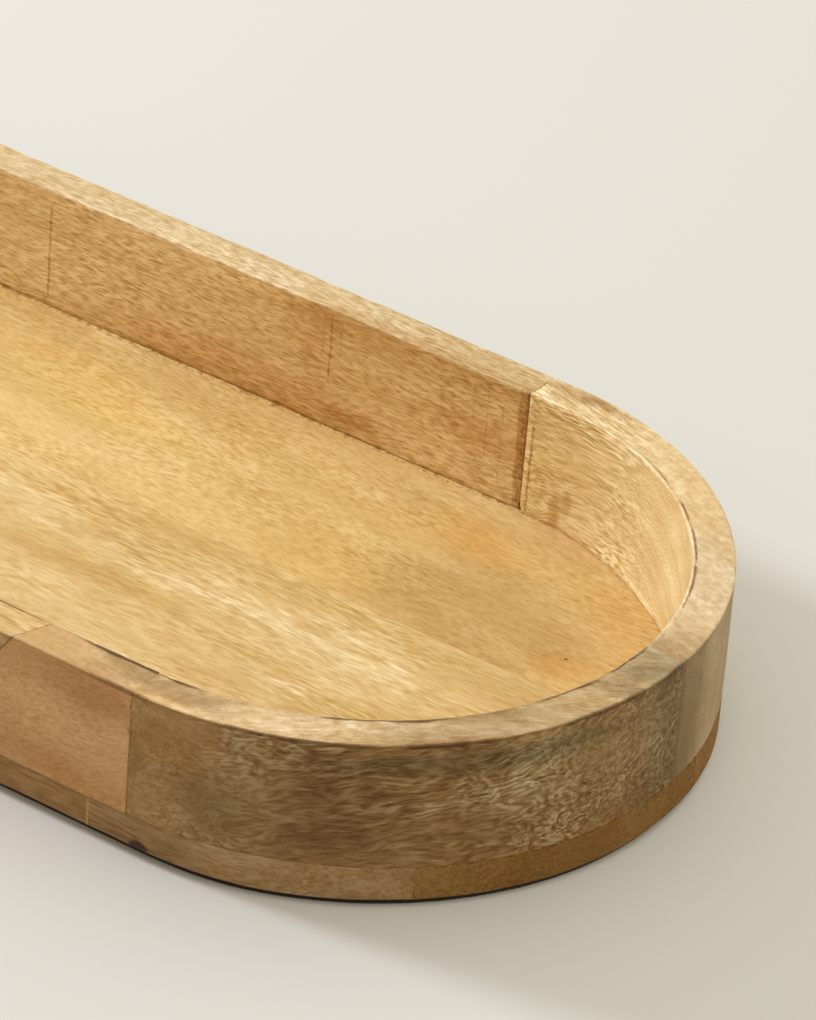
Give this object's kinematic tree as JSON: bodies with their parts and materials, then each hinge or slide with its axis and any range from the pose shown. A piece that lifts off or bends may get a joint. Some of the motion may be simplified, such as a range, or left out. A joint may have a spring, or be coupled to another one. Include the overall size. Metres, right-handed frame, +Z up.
{
  "type": "wooden dish",
  "caption": "Long shallow wooden serving dish with round ends and straight sides, a low upright wall of glued blocks on a flat base of glued boards, lined with felt underneath.",
  "frame": {"origin": "under the middle of the dish, on the surface that it stands on", "axes": "+X along the dish, +Y across it to the back rail, +Z up out of its open side"},
  "size_m": [0.48, 0.2, 0.0506],
  "materials": {
    "base_honey": "honey-coloured hardwood, oiled, satin",
    "base_straw": "straw-coloured hardwood, oiled, satin",
    "base_brown": "brown hardwood edge, oiled, satin",
    "rail_tan": "tan hardwood, oiled, satin",
    "rail_pink": "pinkish tan hardwood, oiled, satin",
    "end_pale": "pale golden hardwood, oiled, satin",
    "end_grey": "grey-brown stained hardwood, oiled, satin",
    "lining_felt": "dark brown felt"
  },
  "bodies": {
    "root": {"base_board_back": "base_honey", "base_board_middle": "base_straw", "base_board_front_long": "base_brown", "base_board_front_short": "base_brown", "rail_back_right": "rail_tan", "rail_back_left": "rail_tan", "rail_front_filler": "rail_pink", "rail_front_right": "rail_tan", "rail_front_left": "rail_tan", "end_block_right_back": "end_pale", "end_block_right_front": "end_grey", "end_block_left_back": "end_pale", "end_block_left_front": "end_grey", "felt_lining": "lining_felt"}
  },
  "joints": []
}
